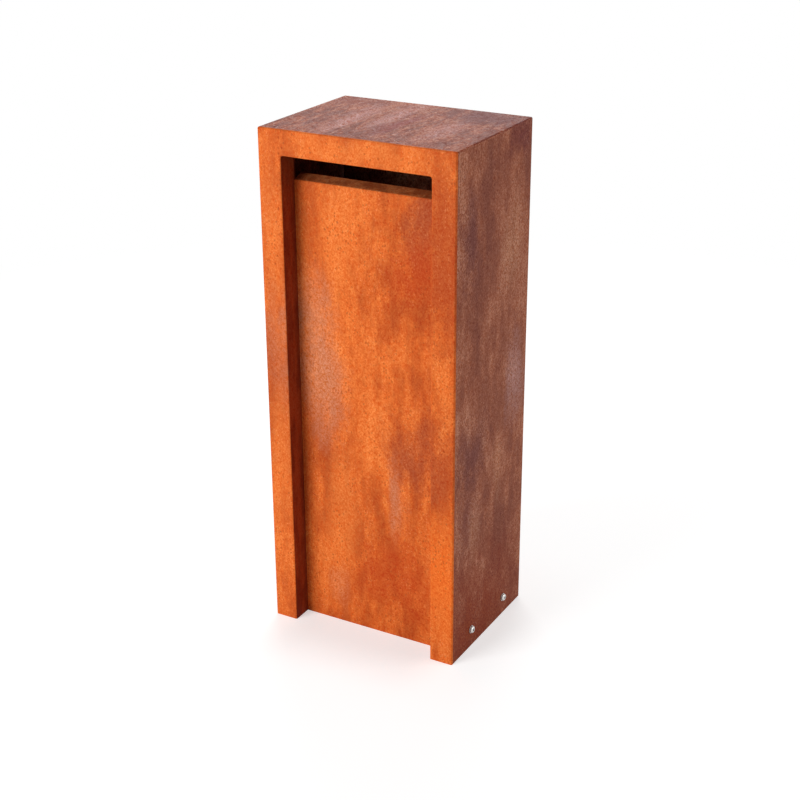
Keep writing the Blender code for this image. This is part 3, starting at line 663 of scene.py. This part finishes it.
for node, skins in (
    ("rear_panel", ("left", "right", "top", "back")),
    ("rear_door", ("left", "right", "top", "bottom", "back")),
):
    rear = Rust(f"rust_brown_{node}")
    rear.draw_out(stretch=DRAWN_DOWN, start=(0.7, 0.2, 0.6))
    colour = rear.patina(BROWN_DEEP, BROWN, BROWN_LIGHT, REAR_PATCHES)
    # Inside the box, behind the outer skin, the colour is darkened: painted shade.
    colour = rear.mix(rear.behind(node, *skins), colour, INSIDE_PAINTED_SHADE, blend="MULTIPLY")
    rear.finished(rear.grained(colour, SIDE_CONTRAST, PIT, FLAKE), sheen=0.25)
    dress(rear.owner, node)


# Inside: the floor that the mail lands on, the plate of the upper hinge pin and the lock's
# keeper. They never dry in the sun, so their rust has stayed dark, with dirt in the corners.
DARK_DEEP = opaque(72, 38, 28)
DARK = opaque(104, 58, 42)
DARK_LIGHT = opaque(136, 82, 58)
DIRT = opaque(82, 68, 58)
FLOOR_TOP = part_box("mail_floor")[1].z
INSIDE_PATCHES = (
    (DIRT, 0.6, (-0.16, 0.10, FLOOR_TOP), (0.06, 0.05, 0.03)),
    (DIRT, 0.5, (0.15, -0.07, FLOOR_TOP), (0.06, 0.04, 0.03)),
    (DIRT, 0.4, (0.05, 0.12, FLOOR_TOP), (0.10, 0.02, 0.03)),
)

inside = Rust("rust_inside_sheets")
inside.draw_out(stretch=(1.0, 0.8, 0.8), start=(0.1, 0.9, 0.4))
colour = inside.patina(DARK_DEEP, DARK, DARK_LIGHT, INSIDE_PATCHES)
inside.finished(inside.grained(colour, SIDE_CONTRAST, PIT, FLAKE, open_air=0.5), sheen=0.2)
dress(inside.owner, "mail_floor", "upper_hinge_plate", "lock_keeper")


# The ground tray: 3 mm steel, hot-dip galvanised. The zinc has set in spangles and turned dull,
# with a white bloom, and rust has washed onto it from the box along both sides.
ZINC_DARK = opaque(126, 131, 136)
ZINC_LIGHT = opaque(172, 177, 181)
ZINC_BLOOM = opaque(204, 206, 204)
RUST_WASH = opaque(142, 92, 66)
SPANGLE_SIZE = 0.011
SPECKLE_SIZE = 0.004
BLOOM_SIZE = 0.05
WASH_SIZE = 0.02
WASH_REACH = 0.03
SPANGLE_RELIEF = 0.00004
TRAY_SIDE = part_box("base_tray")[1].x

tray = Skin("galvanised_sheet")
spangle = tray.cells(SPANGLE_SIZE)[1] * 0.7 + tray.cloud(SPECKLE_SIZE, 3.0, 0.6) * 0.3
bloom = tray.cloud(BLOOM_SIZE, 5.0, 0.65).between(0.5, 0.68)
wash = tray.cloud(WASH_SIZE, 4.0, 0.6).between(0.4, 0.65)
wash = (TRAY_SIDE - abs(tray.across)).between(WASH_REACH, 0.0) * wash
colour = tray.mix(spangle, ZINC_DARK, ZINC_LIGHT)
colour = tray.mix(bloom * 0.6, colour, ZINC_BLOOM)
tray.surface(
    Base_Color=tray.mix(wash * 0.7, colour, RUST_WASH),
    Roughness=0.36 + spangle * 0.12 + bloom * 0.2,
    Metallic=0.85,
    Normal=tray.bump(spangle * SPANGLE_RELIEF, 0.5),
)
dress(tray.owner, "base_tray")


# Four places where the box is held on its tray: a button-head screw with a hexagon socket and
# its washer, both bright stainless steel, and behind the sheets a zinc-plated nut welded on.
STEEL_DARK = opaque(190, 190, 188)
STEEL_LIGHT = opaque(224, 224, 221)
# Grime in the recesses, darkened also as painted shade.
GRIME_AND_SHADE = opaque(44, 36, 32)
STEEL_SPECK = opaque(122, 84, 62)
TARNISH_SIZE = 0.0025
SCUFF_SIZE = 0.0007
SCUFF_RELIEF = 0.00001
CRUST_SIZE = 0.0008
ROUND = 96
SOFT_EDGE = 0.00018
NUT_CHAMFER = math.radians(30)
HOLE_PLAY = 0.0006
HEAD_HEIGHT = 0.0044
HEAD_RIM = 0.0011
CROWN_RADIUS = 0.0035
DOME_STEPS = 10
SOCKET_FLATS = 0.005
SOCKET_DEPTH = 0.0026
SOCKET_MOUTH = 0.0003
CLEAN_RIM = 0.0002
THREAD_LAND = 0.1
THREAD_ROOT = 0.55
SCREW_PITCH = 0.00125
SCREW_THREAD = 0.0006
SHANK_RADIUS = 0.004
WELD_NUT_FLATS = 0.013


def metal(name, tones, speck, speck_share, roughness):
    """A plain metal with a little tarnish, small stains and worn shine."""
    made = Skin(name)
    tarnish = made.cloud(TARNISH_SIZE, 5.0, 0.65)
    scuffs = made.cloud(SCUFF_SIZE, 2.0, 0.5)
    stains = made.cloud(TARNISH_SIZE, 4.0, 0.7).between(0.56, 0.7)
    colour = made.mix(tarnish.between(0.35, 0.65), *tones)
    made.surface(
        Base_Color=made.mix(stains * speck_share, colour, speck),
        Roughness=roughness + tarnish * 0.12 + scuffs * 0.08 + stains * 0.2,
        Metallic=1.0,
        Normal=made.bump(scuffs * SCUFF_RELIEF, 0.4),
    )
    return made.owner


def grime_and_shade():
    """Dust and old grease in a recess, with the recess's shade painted in: nearly black, and quite
    dull.
    """
    made = Skin("grime_in_recess")
    crust = made.cloud(CRUST_SIZE, 4.0, 0.7)
    made.surface(
        Base_Color=made.mix(crust.between(0.35, 0.7), GRIME_AND_SHADE, RUST_WASH),
        Roughness=0.75 + crust * 0.2,
        Metallic=0.0,
        Specular_IOR_Level=0.2,
    )
    return made.owner


steel_tones = (STEEL_DARK, STEEL_LIGHT)
zinc_tones = (ZINC_DARK, ZINC_LIGHT)
stainless = metal("stainless_steel", steel_tones, STEEL_SPECK, speck_share=0.25, roughness=0.16)
plated = metal("zinc_plated_steel", zinc_tones, RUST_WASH, speck_share=0.7, roughness=0.3)
dirt_and_shade = grime_and_shade()
BRIGHT = ("bright_steel", stainless, dirt_and_shade)
PLATED = ("zinc", plated, dirt_and_shade)


def spun(profile, closed=False):
    """A piece turned about Z from (radius, height) points, which may close to a ring."""
    bm = bmesh.new()
    points = [bm.verts.new((radius, 0.0, height)) for radius, height in profile]
    pairs = list(zip(points, points[1:]))
    if closed:
        pairs.append((points[-1], points[0]))
    edges = [bm.edges.new(pair) for pair in pairs]
    axis = {"cent": (0, 0, 0), "axis": (0, 0, 1), "angle": math.tau}
    bmesh.ops.spin(bm, geom=points + edges, steps=ROUND, use_merge=True, **axis)
    bmesh.ops.remove_doubles(bm, verts=bm.verts, dist=SAME_POINT)
    bmesh.ops.recalc_face_normals(bm, faces=bm.faces)
    return bm


def soften(bm, width=SOFT_EDGE):
    """Rounds every sharp edge of a finished shape."""
    sharp = [edge for edge in bm.edges if edge.is_manifold and edge.calc_face_angle() > SHARP]
    settings = {"offset": width, "segments": 2, "profile": 0.5, "affect": "EDGES", "material": -1}
    bmesh.ops.bevel(bm, geom=sharp, clamp_overlap=True, **settings)
    bmesh.ops.remove_doubles(bm, verts=bm.verts, dist=SAME_POINT)


def faceted(verts, sides=6, first_corner=0.0):
    """Moves rings out onto the polygons round them; the first corner is counted from Y."""
    step = math.tau / sides
    for vert in verts:
        turned = (math.atan2(vert.co.x, vert.co.y) - first_corner) % step - step / 2
        vert.co.xy = vert.co.xy / math.cos(turned)


def thread(radius, depth, top, bottom, pitch):
    """Points down a thread from one height to another."""
    points = []
    for i in range(int((top - bottom) / pitch)):
        crest = top - i * pitch
        points.append((radius, crest - THREAD_LAND * pitch))
        points.append((radius - depth, crest - THREAD_ROOT * pitch))
        points.append((radius, crest - pitch))
    return points


def nut_shape(flats, thickness, bore):
    """A hexagon nut about Z, its top at zero, with the corners turned off at the top."""
    edge = flats / 2
    land = edge - SOCKET_MOUTH
    hole = bore / 2
    mouth = hole + SOCKET_MOUTH
    outer = [(land, 0), (edge, -SOCKET_MOUTH), (edge, -thickness)]
    inner = [(mouth, -thickness), (hole, -thickness + SOCKET_MOUTH)]
    inner += [(hole, -SOCKET_MOUTH), (mouth, 0)]
    bm = spun(outer + inner, closed=True)
    rim = [vert for vert in bm.verts if vert.co.xy.length > land + SOFT_EDGE]
    faceted(rim)
    for vert in rim:
        if vert.co.z > -thickness / 2:
            vert.co.z = -(vert.co.xy.length - land) * math.tan(NUT_CHAMFER)
    return bm


def at_end_of(node, direction):
    """Where a piece made about Z goes: its zero at the node's end, its Z the way it points."""
    low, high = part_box(node)
    reach = (high - low) / 2
    place = (low + high) / 2 + Vector(a * b for a, b in zip(reach, direction))
    turn = Vector((0, 0, 1)).rotation_difference(Vector(direction)).to_matrix().to_4x4()
    return Matrix.Translation(place) @ turn


def mark_dark_recess(bm, radius, depth):
    """Marks the faces inside a recess in the crown for the grime and painted shade."""
    for face in bm.faces:
        middle = face.calc_center_median()
        if -depth < middle.z < -CLEAN_RIM and middle.xy.length < radius:
            face.material_index = 1


def fit(name, bm, finish, body, node, direction):
    """Turns a piece made about Z the given way, with its zero at the end of its plain solid."""
    bmesh.ops.transform(bm, matrix=at_end_of(node, direction), verts=bm.verts)
    add_piece(name, bm, finish, body, node)


def side_screw():
    """The screw, its crown at zero: a domed head with a socket, and a threaded shank."""
    low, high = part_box("side_screw_right_front")
    rim = (high.y - low.y) / 2
    length = high.x - low.x
    socket = SOCKET_FLATS / 2
    profile = [
        (0, -SOCKET_DEPTH - SOCKET_MOUTH),
        (socket, -SOCKET_DEPTH),
        (socket, -SOCKET_MOUTH),
        (socket + SOCKET_MOUTH, 0),
    ]
    for i in range(DOME_STEPS + 1):
        angle = math.pi / 2 * (1 - i / DOME_STEPS)
        radius = CROWN_RADIUS + (rim - CROWN_RADIUS) * math.cos(angle)
        profile.append((radius, -(HEAD_HEIGHT - HEAD_RIM) * (1 - math.sin(angle))))
    profile += [(rim, -HEAD_HEIGHT + SOFT_EDGE), (rim - SOFT_EDGE, -HEAD_HEIGHT)]
    profile.append((SHANK_RADIUS, -HEAD_HEIGHT))
    first = -HEAD_HEIGHT - SCREW_PITCH
    last = -length + SCREW_PITCH
    profile += thread(SHANK_RADIUS, SCREW_THREAD, first, last, SCREW_PITCH)
    profile += [(SHANK_RADIUS - SCREW_THREAD, -length), (0, -length)]
    bm = spun(profile)
    inner = CROWN_RADIUS - SOFT_EDGE
    above = [vert for vert in bm.verts if vert.co.z > -HEAD_HEIGHT]
    faceted([vert for vert in above if 0 < vert.co.xy.length < inner])
    mark_dark_recess(bm, inner, HEAD_HEIGHT)
    return bm


def washer(node, hole):
    """A plain washer about Z, its top at zero, as wide and thick as the node's box."""
    low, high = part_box(node)
    thickness = min(high - low)
    rim = max(high - low) / 2
    bore = hole / 2
    bm = spun([(rim, 0), (rim, -thickness), (bore, -thickness), (bore, 0)], closed=True)
    soften(bm)
    return bm


OUTWARDS = {"left_front": -1, "left_rear": -1, "right_front": 1, "right_rear": 1}
for label, outwards in OUTWARDS.items():
    node = f"side_screw_{label}"
    fit(f"screw_{label}", side_screw(), BRIGHT, "root", node, (outwards, 0, 0))
    node = f"side_washer_{label}"
    ring = washer(node, 2 * SHANK_RADIUS + HOLE_PLAY)
    fit(f"washer_{label}", ring, BRIGHT, "root", node, (outwards, 0, 0))
    node = f"weld_nut_{label}"
    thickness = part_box(node)[1].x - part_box(node)[0].x
    nut = nut_shape(WELD_NUT_FLATS, thickness, 2 * SHANK_RADIUS + HOLE_PLAY)
    fit(f"nut_{label}", nut, PLATED, "root", node, (-outwards, 0, 0))


# The door's hinge: two dowels with rounded ends and the washer that the door turns on, hidden
# in the door's own flanges.
PIN_ROUNDING = 0.001


def pin_shape(node):
    """A dowel about Z, its top at zero."""
    low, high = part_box(node)
    radius = (high.x - low.x) / 2
    length = high.z - low.z
    tip = radius - PIN_ROUNDING
    upper = [(0, 0), (tip, 0), (radius, -PIN_ROUNDING)]
    lower = [(radius, PIN_ROUNDING - length), (tip, -length), (0, -length)]
    bm = spun(upper + lower)
    soften(bm)
    return bm


for label in ("lower", "upper"):
    node = f"hinge_pin_{label}"
    fit(f"dowel_{label}", pin_shape(node), BRIGHT, "root", node, (0, 0, 1))
pin_low, pin_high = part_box("hinge_pin_lower")
ring = washer("hinge_washer", pin_high.x - pin_low.x + HOLE_PLAY)
fit("hinge_ring", ring, BRIGHT, "root", "hinge_washer", (0, 0, 1))


# The cam lock: a bright steel shell with two flats, held in the door by a thin zinc-plated nut,
# and a core with the keyway, which carries the zinc-plated cam on a square.
LOCK_HEAD_HEIGHT = 0.003
LOCK_CHAMFER = 0.0008
BARREL_RADIUS = 0.0095
BARREL_FLATS = 0.016
BARREL_PITCH = 0.0015
BARREL_THREAD = 0.0006
CORE_HEAD_RADIUS = 0.008
CORE_HEAD_HEIGHT = 0.0012
CORE_RADIUS = 0.0065
CORE_SQUARE = 0.0074
CORE_GAP = 0.0003
KEYWAY = Vector((0.0018, 0.008, 0.020))
LOCK_NUT_FLATS = 0.024
CAM_CUT_DEPTH = 0.02
CAM_SCREW_HEAD = 0.003
CAM_SCREW_RADIUS = 0.002
CAM_SCREW_CROWN = ((0.0, 0.0), (0.5, 0.0001), (0.8, 0.0005), (0.95, 0.0011), (1.0, 0.0018))
CROSS = Vector((0.0011, 0.0052, 0.003))
TO_BACK = (0, 1, 0)
TO_FRONT = (0, -1, 0)


def carved(bm, *cutters):
    """The shape with boxes, each (middle, size), cut out of it."""
    mesh = bpy.data.meshes.new("blank")
    bm.to_mesh(mesh)
    bm.free()
    blank = bpy.data.objects.new("blank", mesh)
    bpy.context.scene.collection.objects.link(blank)
    tools = []
    for middle, size in cutters:
        box = bmesh.new()
        place = Matrix.Translation(middle) @ Matrix.Diagonal((*size, 1.0))
        bmesh.ops.create_cube(box, size=1.0, matrix=place)
        tool_mesh = bpy.data.meshes.new("tool")
        box.to_mesh(tool_mesh)
        box.free()
        tool = bpy.data.objects.new("tool", tool_mesh)
        bpy.context.scene.collection.objects.link(tool)
        hole = blank.modifiers.new("hole", "BOOLEAN")
        hole.operation = "DIFFERENCE"
        hole.solver = "EXACT"
        hole.object = tool
        tools.append(tool)
    bpy.context.view_layer.update()
    result = bmesh.new()
    result.from_object(blank, bpy.context.evaluated_depsgraph_get())
    for helper in (blank, *tools):
        bpy.data.objects.remove(helper, do_unlink=True)
    return result


def lock_shell():
    """The shell, its face at zero: a low head with a seat for the core, and a threaded barrel."""
    low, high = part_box("lock_housing")
    head = (high.x - low.x) / 2
    end = low.y - high.y
    seat = -CORE_HEAD_HEIGHT - CORE_GAP
    bore = CORE_RADIUS + CORE_GAP
    mouth = CORE_HEAD_RADIUS + CORE_GAP
    root = BARREL_RADIUS - BARREL_THREAD
    profile = [(mouth, 0), (head - LOCK_CHAMFER, 0), (head, -LOCK_CHAMFER)]
    profile += [(head, -LOCK_HEAD_HEIGHT), (root, -LOCK_HEAD_HEIGHT)]
    first = -LOCK_HEAD_HEIGHT - BARREL_PITCH
    profile += thread(BARREL_RADIUS, BARREL_THREAD, first, end, BARREL_PITCH)
    profile += [(root, end), (bore, end), (bore, seat), (mouth, seat)]
    bm = spun(profile, closed=True)
    for vert in bm.verts:
        if vert.co.z < -LOCK_HEAD_HEIGHT - SOFT_EDGE:
            vert.co.y = max(-BARREL_FLATS / 2, min(BARREL_FLATS / 2, vert.co.y))
    return bm


def lock_core():
    """The core, its face at zero: a flat head with the keyway, a body, and the cam's square."""
    low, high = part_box("lock_plug")
    end = low.y - high.y
    body_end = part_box("lock_housing")[0].y - high.y
    square = CORE_SQUARE / 2
    profile = [
        (0, 0),
        (CORE_HEAD_RADIUS - SOFT_EDGE, 0),
        (CORE_HEAD_RADIUS, -SOFT_EDGE),
        (CORE_HEAD_RADIUS, -CORE_HEAD_HEIGHT),
        (CORE_RADIUS, -CORE_HEAD_HEIGHT),
        (CORE_RADIUS, body_end),
        (square, body_end),
        (square, end),
        (0, end),
    ]
    bm = spun(profile)
    inner = [vert for vert in bm.verts if 0 < vert.co.xy.length < square + SOFT_EDGE]
    faceted(inner, sides=4, first_corner=math.pi / 4)
    bm = carved(bm, (Vector((0, 0, 0)), KEYWAY))
    mark_dark_recess(bm, KEYWAY.y / 2 + SOFT_EDGE, KEYWAY.z)
    return bm


def cam_screw():
    """The cam's screw, its crown at zero: a low domed head with a cross recess."""
    low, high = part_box("cam_screw")
    radius = (high.x - low.x) / 2
    length = high.y - low.y
    profile = [(radius * share, -fall) for share, fall in CAM_SCREW_CROWN]
    profile += [(radius, -CAM_SCREW_HEAD), (CAM_SCREW_RADIUS, -CAM_SCREW_HEAD)]
    profile += [(CAM_SCREW_RADIUS, -length), (0, -length)]
    flat = Vector((CROSS.y, CROSS.x, CROSS.z))
    bm = carved(spun(profile), (Vector((0, 0, 0)), CROSS), (Vector((0, 0, 0)), flat))
    mark_dark_recess(bm, CROSS.y / 2 + SOFT_EDGE, CAM_SCREW_HEAD)
    return bm


def cam_shape():
    """The lever in its place: a disc drawn out upwards, with a square hole at its hub."""
    low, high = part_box("lock_cam")
    radius = (high.x - low.x) / 2
    thickness = high.y - low.y
    drawn = (high.z - low.z) - 2 * radius
    bm = spun([(0, 0), (radius, 0), (radius, -thickness), (0, -thickness)])
    for vert in bm.verts:
        if vert.co.y < -SOFT_EDGE:
            vert.co.y -= drawn
    hole = CORE_SQUARE + 2 * CORE_GAP
    bm = carved(bm, (Vector((0, 0, 0)), Vector((hole, hole, CAM_CUT_DEPTH))))
    soften(bm)
    turn = at_end_of("lock_cam", TO_BACK).to_3x3().to_4x4()
    place = Matrix.Translation(Vector((LOCK.x, high.y, LOCK.z))) @ turn
    bmesh.ops.transform(bm, matrix=place, verts=bm.verts)
    return bm


nut_low, nut_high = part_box("lock_nut")
nut = nut_shape(LOCK_NUT_FLATS, nut_high.y - nut_low.y, 2 * BARREL_RADIUS + HOLE_PLAY)
ring = washer("cam_washer", 2 * CAM_SCREW_RADIUS + HOLE_PLAY)
fit("lock_shell", lock_shell(), BRIGHT, "door", "lock_housing", TO_BACK)
fit("lock_ring_nut", nut, PLATED, "door", "lock_nut", TO_FRONT)
fit("lock_core", lock_core(), BRIGHT, "lock", "lock_plug", TO_BACK)
add_piece("lock_lever", cam_shape(), PLATED, "lock", "lock_cam")
fit("lever_washer", ring, PLATED, "lock", "cam_washer", TO_FRONT)
fit("lever_screw", cam_screw(), BRIGHT, "lock", "cam_screw", TO_FRONT)
